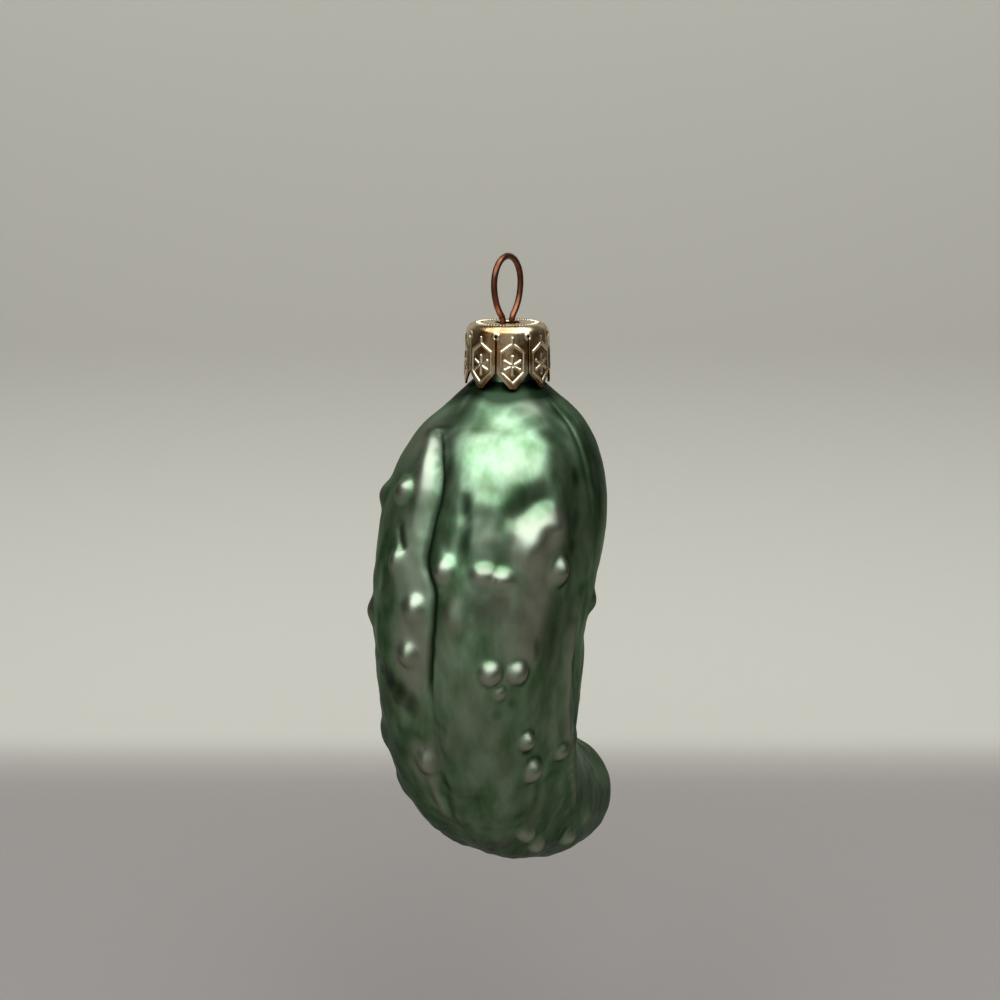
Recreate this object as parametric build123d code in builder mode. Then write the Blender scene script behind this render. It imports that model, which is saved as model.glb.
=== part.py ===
from build123d import *
from math import acos, cos, degrees, pi, radians, sin, tan
import os

# Pickle ornament: a hollow blown-glass pickle, a stamped crown cap and a sprung hanger wire.
# Millimetres, +Z up. The origin is the inside top of the hanger's loop, where it sits on a hook.
# The loop and the pickle's bend both lie in the XZ plane, and the tail curls towards +X.

# Hanger wire, sizes of its centre line
wire_diameter = 0.9
loop_radius = 3.75
flank_radius = 5.9
pinch_half_gap = 1.3
pinch_radius = 1.5
leg_spread = 8
leg_length = 12

# Crown cap, stamped from thin sheet, drops measured from its flat top
sheet_thickness = 0.3
wire_clearance = 0.2
disc_radius = 4.7
shoulder_radius = 5.95
shoulder_drop = 1.4
hem_radius = 6.25
tab_count = 8
tab_corner_drop = 6.5
tab_tip_drop = 8.7
tab_tip_width = 0.7
slit_width = 0.22
slit_eye_radius = 0.2
first_slit_turn = 14.4

# Glass neck inside the cap
neck_inset = 0.15
neck_wall = 0.8

# Glass body: how far each girth stands forward, its drop below the tab tips, and its radius
body_height = 78
girths = [
    (0, -0.7, 4.8),
    (0, 2.5, 8.4),
    (-0.1, 5.9, 11.8),
    (-1.2, 11.7, 14.8),
    (-4, 19.7, 16.4),
    (-7.6, 31.7, 16.2),
    (-8.6, 43.7, 15.2),
    (-6.9, 54.7, 14.4),
    (-2.5, 63.1, 13.3),
    (5, 69.8, 12.1),
    (12.2, 75, 11),
    (18.5, 78, 10),
]
glass_wall = 0.9
tail_length = 9.5
section_count = 15
tail_turns = (30, 52, 70, 84)

# Furrows run along the body and part it into ribs, the deepest one down the back of the bend
rib_count = 5
rib_depth = 0.07
rib_fade = 0.4
points_per_rib = 8

# Warts: share of the way along the body, turn round it from +Y towards +X
wart_rise_share = 1 / 3
small_wart_radius = 2
medium_wart_radius = 2.4
large_wart_radius = 2.8
small_warts = [(0.325, -71), (0.42, -83), (0.54, -147), (0.65, -100), (0.725, -146)]
medium_warts = [
    (0.24, -66),
    (0.375, -86),
    (0.41, -42),
    (0.365, 160),
    (0.44, -126),
    (0.44, -140),
    (0.575, -87),
    (0.59, -38),
    (0.605, -176),
    (0.715, -137),
    (0.8, -155),
]
large_warts = [(0.255, -39), (0.315, -161), (0.325, -122), (0.33, -101), (0.585, -151)]
far_side_turn = 160

# Swellings: broad soft bulges of the skin, placed as the warts are
swelling_radius = 6.5
swelling_rise = 1.2
swellings = [(0.2, -79), (0.235, -82), (0.305, -129), (0.288, -139), (0.265, -149)]

# The wire narrows to its pinch where it passes the cap, and everything below hangs from there.
loop_centre = wire_diameter / 2 - loop_radius
bend_reach = flank_radius + pinch_radius
flank_turn = degrees(acos(1 - (loop_radius - pinch_half_gap) / bend_reach))
cap_top = loop_centre - bend_reach * sin(radians(flank_turn))
leg_end_reach = pinch_half_gap + pinch_radius * (1 - cos(radians(leg_spread)))
leg_end_reach += leg_length * sin(radians(leg_spread))
wire_hole_radius = pinch_half_gap + wire_diameter / 2 + wire_clearance
neck_radius = disc_radius - neck_inset
bore_radius = neck_radius - neck_wall
neck_top = cap_top - sheet_thickness
tab_tips = cap_top - tab_tip_drop
stretch = body_height / girths[-1][1]
neck_root = tab_tips - girths[1][1] * stretch


def on_circle(across, height, radius, turn):
    """A point on a circle standing in the XZ plane."""
    return (across + radius * cos(radians(turn)), 0, height + radius * sin(radians(turn)))


def rib_share(along, turn):
    """How much of the full radius is left at a place on the body: less than one in a furrow."""
    furrow = ((1 + cos(radians(rib_count * (turn + 90)))) / 2) ** 3
    return 1 - rib_depth * abs(sin(pi * along)) ** rib_fade * furrow


# The body's flank line: a girth's place along the bend in X and Z, its radius in Y
with BuildLine() as flank:
    Spline(*[(forward * stretch, radius, tab_tips - drop * stretch) for forward, drop, radius in girths])
flank_line = flank.edges()[0]


def girth_plane(along, beyond=0):
    """The plane square to the body's bend, its X towards +Y and its Y towards the tail's side."""
    place = flank_line @ along
    heading = Vector((flank_line % along).X, 0, (flank_line % along).Z).normalized()
    return Plane(Vector(place.X, 0, place.Z) + heading * beyond, (0, 1, 0), heading)


def ribbed_points(radius, along):
    """A girth's outline with its furrows."""
    turns = [360 * step / (rib_count * points_per_rib) for step in range(rib_count * points_per_rib)]
    reaches = [(radius * rib_share(along, turn), radians(turn)) for turn in turns]
    return [(reach * cos(angle), reach * sin(angle)) for reach, angle in reaches]


def both_sides(warts):
    """The near side's warts, and every other one of them again on the far side."""
    return warts + [(along, turn + far_side_turn) for along, turn in warts[::2]]


def lump_places(lumps, ball_radius, rise):
    """Where each lump's ball sits, sunk in the skin so that only its top stands out."""
    places = []
    for along, turn in lumps:
        reach = (flank_line @ along).Y * rib_share(along, turn) + rise - ball_radius
        spot = Pos(reach * cos(radians(turn)), reach * sin(radians(turn)), 0)
        places.append(girth_plane(along).location * spot)
    return places


def wart_places(warts, wart_radius):
    """Where the balls of warts of one size sit."""
    return lump_places(both_sides(warts), wart_radius, wart_radius * wart_rise_share)


# Hanger: a round loop, two long flanks that close to the pinch, two legs that spring open in the neck
with BuildLine() as hanger_path:
    ThreePointArc(
        on_circle(0, loop_centre, loop_radius, 0),
        on_circle(0, loop_centre, loop_radius, 90),
        on_circle(0, loop_centre, loop_radius, 180),
    )
    for side in (1, -1):
        flank_middle = side * (loop_radius - flank_radius)
        ThreePointArc(
            on_circle(flank_middle, loop_centre, flank_radius, 90 - side * 90),
            on_circle(flank_middle, loop_centre, flank_radius, 90 - side * (90 + flank_turn / 2)),
            on_circle(flank_middle, loop_centre, flank_radius, 90 - side * (90 + flank_turn)),
        )
        pinch_middle = side * (pinch_half_gap + pinch_radius)
        pinch_end = on_circle(pinch_middle, cap_top, pinch_radius, 90 + side * (90 + leg_spread))
        ThreePointArc(
            on_circle(pinch_middle, cap_top, pinch_radius, 90 + side * (90 - flank_turn)),
            on_circle(pinch_middle, cap_top, pinch_radius, 90 + side * 90),
            pinch_end,
        )
        leg_drop = leg_length * cos(radians(leg_spread))
        Line(pinch_end, (side * leg_end_reach, 0, pinch_end[2] - leg_drop))
hanger_line = hanger_path.wire()

with BuildPart() as hanger_wire:
    with BuildSketch(Plane(hanger_line @ 0, z_dir=hanger_line % 0)):
        Circle(wire_diameter / 2)
    sweep(path=hanger_line)

# Crown cap: a holed disc, a rounded shoulder and a skirt slit into pointed tabs
with BuildPart() as slit_cut:
    with BuildSketch(Plane((0, 0, cap_top), (0, 1, 0), (1, 0, 0))):
        notch_half_width = hem_radius * tan(radians(180 / tab_count)) - tab_tip_width / 2
        with BuildLine():
            Polyline(
                (slit_width / 2, -shoulder_drop),
                (slit_width / 2, -tab_corner_drop),
                (notch_half_width, -tab_tip_drop),
                (notch_half_width, -tab_tip_drop - sheet_thickness),
                (-notch_half_width, -tab_tip_drop - sheet_thickness),
                (-notch_half_width, -tab_tip_drop),
                (-slit_width / 2, -tab_corner_drop),
                (-slit_width / 2, -shoulder_drop),
                close=True,
            )
        make_face()
        with Locations((0, -shoulder_drop)):
            Circle(slit_eye_radius)
    extrude(amount=hem_radius + shoulder_radius)

with BuildPart() as crown_cap:
    with BuildSketch(Plane.XZ):
        with BuildLine():
            skin = [0, sheet_thickness]
            shoulders = [
                EllipticalCenterArc(
                    (disc_radius, cap_top - shoulder_drop),
                    shoulder_radius - disc_radius - inset,
                    shoulder_drop - inset,
                    start_angle=0,
                    arc_size=90,
                )
                for inset in skin
            ]
            for inset, shoulder in zip(skin, shoulders):
                Line(shoulder @ 1, (wire_hole_radius, cap_top - inset))
                Line(shoulder @ 0, (hem_radius - inset, cap_top - tab_tip_drop))
            Line((wire_hole_radius, cap_top), (wire_hole_radius, cap_top - sheet_thickness))
            Line(
                (hem_radius, cap_top - tab_tip_drop),
                (hem_radius - sheet_thickness, cap_top - tab_tip_drop),
            )
        make_face()
    revolve(axis=Axis.Z)
    with PolarLocations(0, tab_count, first_slit_turn):
        add(slit_cut.part, mode=Mode.SUBTRACT)

# The space inside the blown body, plain and round, one wall thickness in from the furrows
with BuildPart() as hollow:
    for step in range(section_count + 1):
        along = step / section_count
        with BuildSketch(girth_plane(along)):
            Circle((flank_line @ along).Y * (1 - rib_depth) - glass_wall)
    for turn in tail_turns[:2]:
        with BuildSketch(girth_plane(1, (tail_length - glass_wall) * sin(radians(turn)))):
            Circle(((flank_line @ 1).Y * (1 - rib_depth) - glass_wall) * cos(radians(turn)))
    loft()
    with BuildSketch(Plane.XY.offset(neck_top)):
        Circle(bore_radius)
    extrude(amount=neck_root - glass_wall - neck_top)

# Glass pickle: ribbed, warty, bent body with a plain open neck
with BuildPart() as glass_pickle:
    for step in range(section_count + 1):
        along = step / section_count
        with BuildSketch(girth_plane(along)):
            with BuildLine():
                Spline(*ribbed_points((flank_line @ along).Y, along), periodic=True)
            make_face()
    for turn in tail_turns:
        with BuildSketch(girth_plane(1, tail_length * sin(radians(turn)))):
            with BuildLine():
                Spline(*ribbed_points((flank_line @ 1).Y * cos(radians(turn)), 1), periodic=True)
            make_face()
    loft()
    with BuildSketch(Plane.XY.offset(neck_top)):
        Circle(neck_radius)
    extrude(amount=neck_root - neck_top)
    with Locations(*lump_places(swellings, swelling_radius, swelling_rise)):
        Sphere(swelling_radius)
    with Locations(*wart_places(small_warts, small_wart_radius)):
        Sphere(small_wart_radius)
    with Locations(*wart_places(medium_warts, medium_wart_radius)):
        Sphere(medium_wart_radius)
    with Locations(*wart_places(large_warts, large_wart_radius)):
        Sphere(large_wart_radius)
    add(hollow.part, mode=Mode.SUBTRACT)

os.makedirs("parts", exist_ok=True)
hanger_wire.part.label = "hanger_wire"
export_step(hanger_wire.part, "parts/hanger_wire.step")
crown_cap.part.label = "crown_cap"
export_step(crown_cap.part, "parts/crown_cap.step")
glass_pickle.part.label = "glass_pickle"
export_step(glass_pickle.part, "parts/glass_pickle.step")
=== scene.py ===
"""Pickle ornament: a mould-blown glass pickle with a stamped crown cap and a bent copper hanger."""

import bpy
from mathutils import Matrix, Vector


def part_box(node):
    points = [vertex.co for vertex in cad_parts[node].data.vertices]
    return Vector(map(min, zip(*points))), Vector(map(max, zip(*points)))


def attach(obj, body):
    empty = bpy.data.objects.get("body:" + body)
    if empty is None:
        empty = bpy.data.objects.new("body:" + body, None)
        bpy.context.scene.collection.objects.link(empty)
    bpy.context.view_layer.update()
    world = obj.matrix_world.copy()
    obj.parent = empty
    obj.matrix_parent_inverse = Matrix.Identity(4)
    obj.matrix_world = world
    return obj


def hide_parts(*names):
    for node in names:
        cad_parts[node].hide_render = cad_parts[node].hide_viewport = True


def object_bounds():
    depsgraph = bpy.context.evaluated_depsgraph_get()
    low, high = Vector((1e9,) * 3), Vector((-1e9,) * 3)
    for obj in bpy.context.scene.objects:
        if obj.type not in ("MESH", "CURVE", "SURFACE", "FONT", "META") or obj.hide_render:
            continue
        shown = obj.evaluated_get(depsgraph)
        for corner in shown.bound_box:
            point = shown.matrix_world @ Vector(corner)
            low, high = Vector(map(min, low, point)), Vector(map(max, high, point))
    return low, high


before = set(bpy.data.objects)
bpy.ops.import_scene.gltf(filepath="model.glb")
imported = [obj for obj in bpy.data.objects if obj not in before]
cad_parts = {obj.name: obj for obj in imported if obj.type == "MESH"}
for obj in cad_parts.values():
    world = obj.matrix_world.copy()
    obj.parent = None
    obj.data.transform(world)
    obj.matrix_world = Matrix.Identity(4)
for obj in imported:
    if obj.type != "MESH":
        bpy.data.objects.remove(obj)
cad_box = [list(corner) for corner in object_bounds()]

import math
from collections import namedtuple

import bpy
import numpy as np
from bpy.props import FloatProperty, FloatVectorProperty, IntProperty, PointerProperty
from mathutils import Vector

bl_info = {
    "name": "Pickle Ornament",
    "version": (1, 0, 0),
    "blender": (4, 5, 0),
    "location": "View3D > Sidebar > Ornament",
    "description": "Dresses a glass pickle ornament: lacquered glass, stamped crown cap, copper hanger",
    "category": "Add Mesh",
}

MM = 0.001
UP = np.array([0, 0, 1])
CAP_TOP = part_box("crown_cap")[1][2] / MM


def linear(code):
    """The linear RGBA of an sRGB hex colour."""
    shares = [int(code[at:at + 2], 16) / 255 for at in (0, 2, 4)]
    return [s / 12.92 if s <= 0.04045 else ((s + 0.055) / 1.055) ** 2.4 for s in shares] + [1.0]


def length(name, description, millimetres):
    """A size that a user can change, given here in millimetres."""
    return FloatProperty(
        name=name, description=description, default=millimetres * MM, precision=5, unit="LENGTH"
    )


def turn(name, description, degrees):
    """An angle that a user can change, given here in degrees."""
    return FloatProperty(
        name=name, description=description, default=math.radians(degrees), subtype="ANGLE"
    )


def colour(name, description, code):
    """A colour that a user can change, given here as sRGB hex."""
    return FloatVectorProperty(
        name=name, description=description, default=linear(code), size=4, min=0, max=1, subtype="COLOR"
    )


class HangerWireSettings(bpy.types.PropertyGroup):
    """Sizes and colours of the hanger wire."""

    gauge: length("Gauge", "Thickness of the wire", 0.9)
    loop_radius: length("Loop radius", "From the loop's middle to the wire's middle", 3.75)
    flank_radius: length("Flank radius", "Long bend of each side below the loop", 5.9)
    pinch_half_gap: length("Pinch half gap", "From the middle to each side at the cap", 1.3)
    pinch_radius: length("Pinch radius", "Bend of each side at the cap", 1.5)
    leg_spread: turn("Leg spread", "How far each leg springs open inside the neck", 8)
    leg_length: length("Leg length", "Straight leg inside the neck", 12)
    copper: colour("Copper", "Clean copper", "905B43")
    tarnish: colour("Tarnish", "Darkened copper", "4C2D20")


class CrownCapSettings(bpy.types.PropertyGroup):
    """Sizes and colours of the crown cap."""

    sheet: length("Sheet", "Thickness of the sheet", 0.3)
    hole_radius: length("Hole radius", "Hole that the wire passes through", 1.95)
    disc_radius: length("Disc radius", "Flat top", 4.7)
    shoulder_radius: length("Shoulder radius", "Skirt just under the shoulder", 5.95)
    shoulder_drop: length("Shoulder drop", "Height of the rounded shoulder", 1.4)
    hem_radius: length("Hem radius", "Skirt at the tab tips", 6.25)
    tabs: IntProperty(name="Tabs", description="Pointed tabs round the skirt", default=8, min=3)
    first_slit: turn("First slit", "Turn of the first slit from +X", 14.4)
    corner_drop: length("Corner drop", "Where a tab starts to narrow", 6.5)
    tip_drop: length("Tip drop", "Tip of a tab", 8.7)
    tip_width: length("Tip width", "Blunt end of a tab", 0.7)
    slit_width: length("Slit width", "Gap between two tabs", 0.22)
    eye_radius: length("Eye radius", "Round end of a slit", 0.17)
    emboss: length("Emboss", "Height of the stamped lines", 0.15)
    ridges: IntProperty(name="Ridges", description="Knurled ridges on the border", default=62, min=8)
    ridge_ring: length("Ridge ring", "Radius that the knurled ridges stand on", 4.22)
    ridge_length: length("Ridge length", "Length of one knurled ridge", 0.95)
    ridge_width: length("Ridge width", "Width of one knurled ridge", 0.26)
    ridge_height: length("Ridge height", "Height of one knurled ridge", 0.26)
    gold: colour("Gold", "Gold-coloured sheet", "E8D6B2")
    # Painted shade and reflection: the darker, browner gold of the pressed field
    gold_shade: colour("Gold shade", "Duller gold in the pressed field", "A07A4E")


class GlassPickleSettings(bpy.types.PropertyGroup):
    """Sizes and colours of the glass pickle."""

    neck_radius: length("Neck radius", "Outside of the neck", 4.55)
    bore_radius: length("Bore radius", "Inside of the neck", 3.75)
    glass_wall: length("Glass wall", "Thickness of the blown wall", 0.9)
    tail_length: length("Tail length", "Rounded end beyond the last girth", 9.1)
    rib_depth: FloatProperty(
        name="Rib depth", description="Share of the radius that a furrow takes", default=0.07, min=0
    )
    leaf: colour("Leaf", "Lacquer in its usual thickness", "8FAB8A")
    moss: colour("Moss", "Lacquer where it lies thicker", "5E7F57")
    # Silver also greys the spots set as painted reflection
    silver: colour("Silver", "Silvering that shows through thin lacquer", "9C9C8C")
    # Painted shade colour: mixed into the lacquer in creases, dark spots, under the cap and on the lower
    # body
    pool: colour("Pool", "Lacquer pooled in the creases", "1B2E17")
    rim_tint: colour("Rim tint", "Lacquer seen edge on, where it is darkest", "5E6E60")


class StageSettings(bpy.types.PropertyGroup):
    """Floor, light and camera."""

    floor_height: length("Floor height", "Height of the floor", -149)
    wall_reach: length("Wall reach", "How far the wall stands behind the ornament", 200)
    light_reach: length("Light reach", "From the ornament to the soft light", 620)
    light_width: length("Light width", "Width of the soft light", 1350)
    light_height: length("Light height", "Height of the soft light", 920)
    light_lift: turn("Light lift", "How high the soft light stands", 71)
    light_side: turn("Light side", "How far the soft light stands to the right of the camera", 0)
    light_power: FloatProperty(name="Light power", description="Soft light", default=11.5, unit="POWER")
    light_colour: colour("Light colour", "Slightly cool daylight", "F2FAFF")
    fill_reach: length("Fill reach", "From the ornament to the fill light", 900)
    fill_width: length("Fill width", "Width of the fill light", 1500)
    fill_height: length("Fill height", "Height of the fill light", 700)
    fill_lift: turn("Fill lift", "How high the fill light stands", 10)
    fill_side: turn("Fill side", "How far the fill light stands to the right of the camera", -25)
    fill_power: FloatProperty(name="Fill power", description="Fill light", default=1.1, unit="POWER")
    camera_place: FloatVectorProperty(
        name="Camera place",
        description="Where the camera stands",
        default=(-0.12591, -0.07262, CAP_TOP * MM + 0.0163),
        subtype="TRANSLATION",
        unit="LENGTH",
    )
    camera_azimuth: turn("Camera azimuth", "Side that the camera looks from", -59.6)
    camera_pitch: turn("Camera pitch", "How far the camera looks down", 16.49)
    camera_lens: FloatProperty(name="Lens", description="Focal length on a 36 mm sensor", default=36)
    wall_colour: colour("Wall colour", "Pale card behind", "AFA99E")
    floor_colour: colour("Floor colour", "Pale grey card below", "877F7A")
    room_colour: colour("Room colour", "Plain light of the room", "4A4640")


def add_node(tree, kind, links=(), **settings):
    """Adds one node with its settings, and sets or links its inputs."""
    node = tree.nodes.new(kind)
    for name, value in settings.items():
        setattr(node, name, value)
    for socket, value in dict(links).items():
        if isinstance(value, bpy.types.NodeSocket):
            tree.links.new(value, node.inputs[socket])
        else:
            node.inputs[socket].default_value = value
    return node


def output_of(tree, kind, links=(), **settings):
    """The first output of a new node."""
    return add_node(tree, kind, links, **settings).outputs[0]


def calc(tree, operation, *values):
    """One step of arithmetic on sockets and numbers."""
    return output_of(tree, "ShaderNodeMath", dict(enumerate(values)), operation=operation)


def noise(tree, place, millimetres, detail):
    """A soft noise with patches of about this width."""
    scale = 1 / (millimetres * MM)
    return output_of(tree, "ShaderNodeTexNoise", {"Vector": place, "Scale": scale, "Detail": detail})


def stored(tree, name):
    """A value stored on the points of the mesh."""
    return add_node(tree, "ShaderNodeAttribute", attribute_name=name).outputs["Fac"]


def remap(tree, value, given=(0, 1), wanted=(0, 1), **settings):
    """A value brought from the given range to the wanted one."""
    links = {"Value": value, "From Min": given[0], "From Max": given[1]}
    links |= {"To Min": wanted[0], "To Max": wanted[1]}
    return output_of(tree, "ShaderNodeMapRange", links, **settings)


def blend(tree, share, first, second):
    """A colour between two others."""
    return add_node(tree, "ShaderNodeMix", {0: share, 6: first, 7: second}, data_type="RGBA").outputs[2]


def fine_relief(tree, height, strength, millimetres):
    """A normal that follows a fine unevenness of the surface."""
    links = {"Height": height, "Strength": strength, "Distance": millimetres * MM}
    return output_of(tree, "ShaderNodeBump", links)


def start_material(name):
    """An empty node material, its tree and its Object coordinates."""
    material = bpy.data.materials.new(name)
    material.use_nodes = True
    tree = material.node_tree
    tree.nodes.clear()
    place = add_node(tree, "ShaderNodeTexCoord").outputs["Object"]
    return material, tree, place


def finished(material, inputs):
    """The material, ended in one shader with the given inputs."""
    shader = output_of(material.node_tree, "ShaderNodeBsdfPrincipled", inputs)
    add_node(material.node_tree, "ShaderNodeOutputMaterial", {"Surface": shader})
    return material


def copper_wire_material(settings):
    """Drawn copper wire, handled and slightly oxidised: warm reflections with darker brown patches."""
    material, tree, place = start_material("drawn_copper_wire")
    patch = noise(tree, place, 3, detail=4)
    drawn = noise(tree, place, 0.4, detail=3)
    inputs = {
        "Base Color": blend(tree, remap(tree, patch, (0.3, 0.62)), settings.copper, settings.tarnish),
        "Metallic": 1,
        "Roughness": remap(tree, patch, wanted=(0.22, 0.48)),
        "Normal": fine_relief(tree, drawn, strength=0.4, millimetres=0.03),
    }
    return finished(material, inputs)


def gold_sheet_material(settings):
    """Stamped gold-coloured sheet: pale gold, with painted shade and reflection making the pressed field
    duller and browner.
    """
    material, tree, place = start_material("stamped_gold_sheet")
    patch = noise(tree, place, 2.2, detail=5)
    rolled = noise(tree, place, 0.8, detail=4)
    # Painted shade: low, pressed places take the darker field colour
    polished = remap(tree, calc(tree, "ADD", stored(tree, "relief"), patch), (0.42, 0.75))
    inputs = {
        "Base Color": blend(tree, polished, settings.gold_shade, settings.gold),
        "Metallic": 1,
        "Roughness": remap(tree, patch, wanted=(0.16, 0.38)),
        "Normal": fine_relief(tree, rolled, strength=0.35, millimetres=0.05),
    }
    return finished(material, inputs)


def lacquered_glass_material(settings):
    """Blown glass, silvered inside, with satin green lacquer outside.

    It reflects like tinted metal with soft edges. Painted shade darkens it in the creases, in dark spots,
    under the cap and towards the bottom. It is greyer where it is rubbed thin and the silvering shows
    through, and in spots where that grey is set as a painted reflection.
    """
    material, tree, place = start_material("lacquered_silvered_glass")
    runs = output_of(tree, "ShaderNodeVectorMath", {0: place, 1: (1, 1, 0.45)}, operation="MULTIPLY")
    cloud = noise(tree, place, 8, detail=3)
    fleck = noise(tree, runs, 3, detail=3)
    lacquer = blend(tree, remap(tree, fleck, (0.36, 0.66)), settings.leaf, settings.moss)
    # Silver shows on worn warts and crests, and in spots set as painted reflection
    wear = calc(tree, "MULTIPLY_ADD", stored(tree, "rubbed"), 0.62, cloud)
    washed = blend(tree, remap(tree, wear, (0.5, 0.95), (0, 0.75)), lacquer, settings.silver)
    inputs = {
        # The "furrow" attribute carries the painted shade
        "Base Color": blend(tree, stored(tree, "furrow"), washed, settings.pool),
        "Metallic": 1,
        "Roughness": remap(tree, cloud, wanted=(0.34, 0.46)),
        "Specular Tint": settings.rim_tint,
        "Coat Weight": 0.25,
        "Coat Roughness": 0.28,
        "Normal": fine_relief(tree, fleck, strength=0.04, millimetres=0.25),
    }
    return finished(material, inputs)


def card_material(settings):
    """Matt painted card, pale grey underfoot and paler behind: even, with no gloss."""
    material, tree, place = start_material("pale_card")
    height = add_node(tree, "ShaderNodeSeparateXYZ", {"Vector": place}).outputs["Z"]
    edge = (settings.floor_height, settings.floor_height + 5 * MM)
    rise = remap(tree, height, edge, interpolation_type="SMOOTHSTEP")
    paint = blend(tree, rise, settings.floor_colour, settings.wall_colour)
    return finished(material, {"Base Color": paint, "Roughness": 0.9})


def linked(name, data):
    """A new object in the scene with the given mesh, light or camera."""
    piece = bpy.data.objects.new(name, data)
    bpy.context.collection.objects.link(piece)
    return piece


def new_object(name, vertices, edges=(), faces=()):
    """A mesh object at the origin from points in millimetres."""
    mesh = bpy.data.meshes.new(name)
    mesh.from_pydata((np.asarray(vertices) * MM).tolist(), edges, faces)
    mesh.update()
    return linked(name, mesh)


def start_tree(name, sizes):
    """A Geometry Nodes tree with a geometry input, named sizes and a geometry output."""
    tree = bpy.data.node_groups.new(name, "GeometryNodeTree")
    for label, kind in {"Geometry": "Geometry", **sizes}.items():
        tree.interface.new_socket(label, in_out="INPUT", socket_type="NodeSocket" + kind)
    tree.interface.new_socket("Geometry", in_out="OUTPUT", socket_type="NodeSocketGeometry")
    return tree, add_node(tree, "NodeGroupInput").outputs


def close_tree(tree, geometry, material):
    """The tree, ended in real, smooth geometry that carries its material."""
    real = output_of(tree, "GeometryNodeRealizeInstances", {"Geometry": geometry})
    smooth = output_of(tree, "GeometryNodeSetShadeSmooth", {"Geometry": real})
    dressed = output_of(tree, "GeometryNodeSetMaterial", {"Geometry": smooth, "Material": material})
    add_node(tree, "NodeGroupOutput", {"Geometry": dressed})
    return tree


def use_tree(piece, tree, values):
    """Puts a tree on a piece and sets its named sizes."""
    modifier = piece.modifiers.new(tree.name, "NODES")
    modifier.node_group = tree
    for item in tree.interface.items_tree:
        if item.in_out == "INPUT" and item.name in values:
            modifier[item.identifier] = values[item.name]


def settle(piece, name):
    """Turns a piece with its modifiers into a plain mesh object of the given name."""
    shape = piece.evaluated_get(bpy.context.evaluated_depsgraph_get())
    mesh = bpy.data.meshes.new_from_object(shape)
    bpy.data.objects.remove(piece)
    mesh.name = name
    return linked(name, mesh)


def arc(middle, height, radius, start, end, steps):
    """Points of an arc in the XZ plane, its angles in degrees from +X."""
    angles = np.radians(np.linspace(start, end, steps))
    return [(middle + radius * math.cos(a), 0, height + radius * math.sin(a)) for a in angles]


def hanger_route(settings):
    """The wire's centre line from one leg's end round the loop to the other's, in millimetres."""
    loop = settings.loop_radius / MM
    flank = settings.flank_radius / MM
    bend = settings.pinch_radius / MM
    pinch = settings.pinch_half_gap / MM
    leg = settings.leg_length / MM
    spread = settings.leg_spread
    height = settings.gauge / MM / 2 - loop
    close = math.degrees(math.acos(1 - (loop - pinch) / (flank + bend)))
    pinch_bend = arc(pinch + bend, CAP_TOP, bend, 180 + math.degrees(spread), 180 - close, 16)
    foot = pinch_bend[0]
    toe = (foot[0] + leg * math.sin(spread), 0, foot[2] - leg * math.cos(spread))
    leg_points = [tuple(np.add(toe, np.subtract(foot, toe) * share)) for share in np.linspace(0, 0.95, 14)]
    flank_bend = arc(loop - flank, height, flank, -close, 0, 20)[1:-1]
    right = leg_points + pinch_bend + flank_bend
    left = [(-x, y, z) for x, y, z in reversed(right)]
    return right + arc(0, height, loop, 0, 180, 44) + left


def wire_tree(material):
    """Draws a round wire along a line of edges."""
    tree, given = start_tree("bent_wire", {"Gauge": "Float", "Sides": "Int"})
    line = output_of(tree, "GeometryNodeMeshToCurve", {"Mesh": given["Geometry"]})
    round_wire = {"Resolution": given["Sides"], "Radius": calc(tree, "MULTIPLY", given["Gauge"], 0.5)}
    ring = output_of(tree, "GeometryNodeCurvePrimitiveCircle", round_wire)
    along = {"Curve": line, "Profile Curve": ring, "Fill Caps": True}
    return close_tree(tree, output_of(tree, "GeometryNodeCurveToMesh", along), material)


class ORNAMENT_OT_bend_hanger_wire(bpy.types.Operator):
    """Bend the copper hanger wire along its route"""

    bl_idname = "ornament.bend_hanger_wire"
    bl_label = "Bend hanger wire"

    def execute(self, context):
        settings = context.scene.ornament_hanger
        route = hanger_route(settings)
        path = new_object("hanger_route", route, [(i, i + 1) for i in range(len(route) - 1)])
        tree = wire_tree(copper_wire_material(settings))
        use_tree(path, tree, {"Gauge": settings.gauge, "Sides": 20})
        wire = settle(path, "copper_hanger")
        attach(wire, "hanger")
        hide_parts("hanger_wire")
        return {"FINISHED"}


def line_relief(across, drop, start, end, width):
    """How far a stamped line rises at each place of a tab, from 0 to 1."""
    run = np.subtract(end, start)
    along = ((across - start[0]) * run[0] + (drop - start[1]) * run[1]) / (run @ run)
    along = np.clip(along, 0, 1)
    gap = np.hypot(across - start[0] - along * run[0], drop - start[1] - along * run[1])
    return np.exp(-((gap / width) ** 4))


def ring_relief(across, drop, middle, radius, width):
    """How far a stamped ring rises at each place of a tab, from 0 to 1."""
    gap = np.abs(np.hypot(across - middle[0], drop - middle[1]) - radius)
    return np.exp(-((gap / width) ** 2))


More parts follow.
